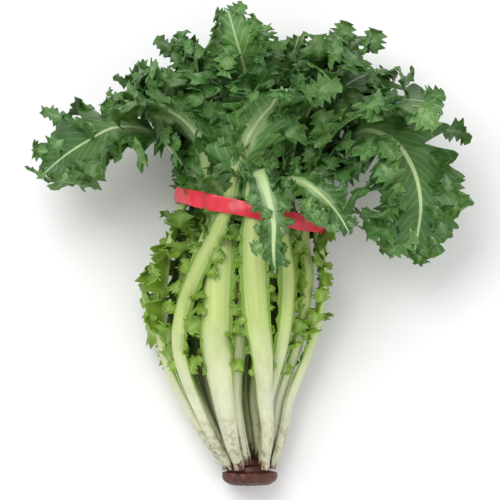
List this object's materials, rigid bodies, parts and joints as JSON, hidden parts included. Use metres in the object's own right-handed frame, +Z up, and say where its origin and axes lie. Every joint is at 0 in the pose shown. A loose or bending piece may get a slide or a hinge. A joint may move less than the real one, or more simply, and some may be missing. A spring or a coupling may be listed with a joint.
{
  "type": "curly endive head",
  "caption": "Cut head of curly endive lying on its side, with frilled leaves fanning out above a red band and pale stalks gathered at a brown root.",
  "frame": {"origin": "middle of the flat spot under the cut root, on the table", "axes": "+Z up from the table, +Y from the root towards the leaf tips, +X to the right as seen in the picture"},
  "size_m": [0.3142, 0.345, 0.167],
  "materials": {
    "leaf": "waxy, slightly glossy green",
    "root": "damp browned cut",
    "band": "satin red"
  },
  "bodies": {
    "root": {"cut_root": "root", "leaf_left_arch": "leaf", "leaf_front_slim": "leaf", "leaf_front_broad": "leaf", "leaf_front_fold": "leaf", "leaf_right_hanging": "leaf", "leaf_under_right": "leaf", "leaf_under_middle": "leaf", "leaf_under_left": "leaf", "leaf_left_low": "leaf", "leaf_middle_left": "leaf", "leaf_top_fan": "leaf", "leaf_front_right": "leaf", "leaf_pale_rib": "leaf", "leaf_middle_right": "leaf", "leaf_middle_low_right": "leaf", "leaf_back_right": "leaf", "leaf_back_left": "leaf", "leaf_middle_low_left": "leaf", "leaf_middle_far_left": "leaf", "leaf_inner_1": "leaf", "leaf_inner_2": "leaf", "leaf_inner_3": "leaf", "leaf_inner_4": "leaf", "leaf_inner_5": "leaf", "leaf_heart_1": "leaf", "leaf_heart_2": "leaf", "band": "band"}
  },
  "joints": []
}
